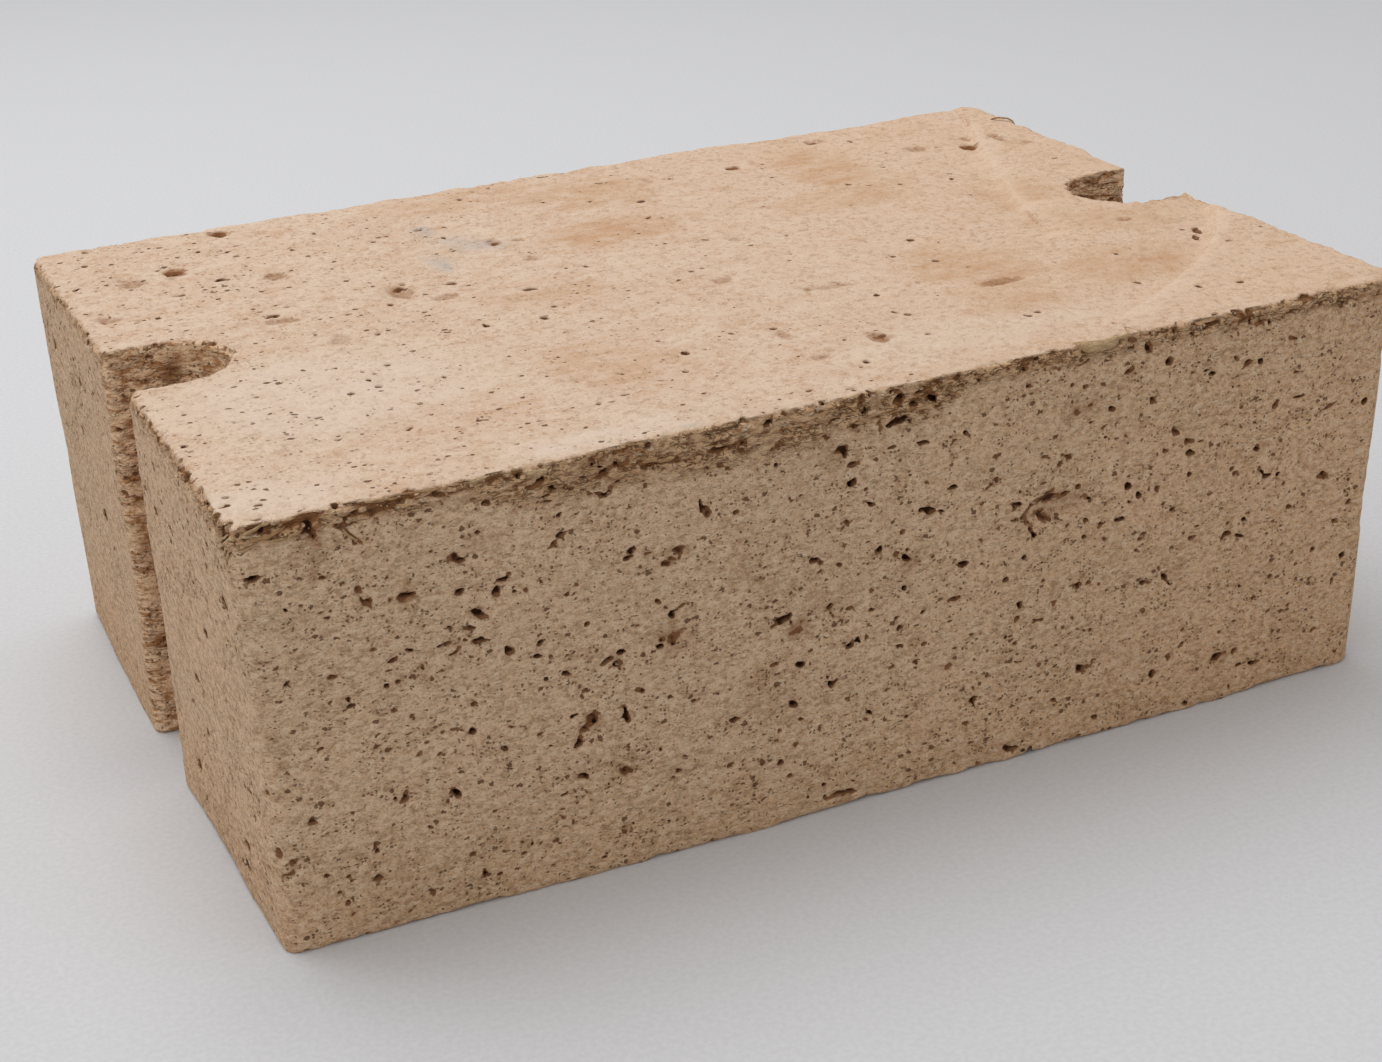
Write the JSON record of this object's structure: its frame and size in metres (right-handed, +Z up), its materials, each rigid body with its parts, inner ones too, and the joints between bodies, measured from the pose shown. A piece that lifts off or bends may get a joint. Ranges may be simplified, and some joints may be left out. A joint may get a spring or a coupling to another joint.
{
  "type": "adobe brick",
  "caption": "Sun-dried earth and straw brick: an oblong block with a round-ended mortar key slot down the middle of each short end.",
  "frame": {"origin": "middle of the brick's box at the base, on the surface that it lies on", "axes": "+X along the length towards the higher end, +Y across the width from the front face to the back face, +Z up through the struck top"},
  "size_m": [0.3, 0.2044, 0.1118],
  "materials": {
    "adobe": "dry matt earth with straw, pale and smeared on the struck top, coarse and pitted on the sides"
  },
  "bodies": {
    "root": {"adobe_brick": "adobe"}
  },
  "joints": []
}
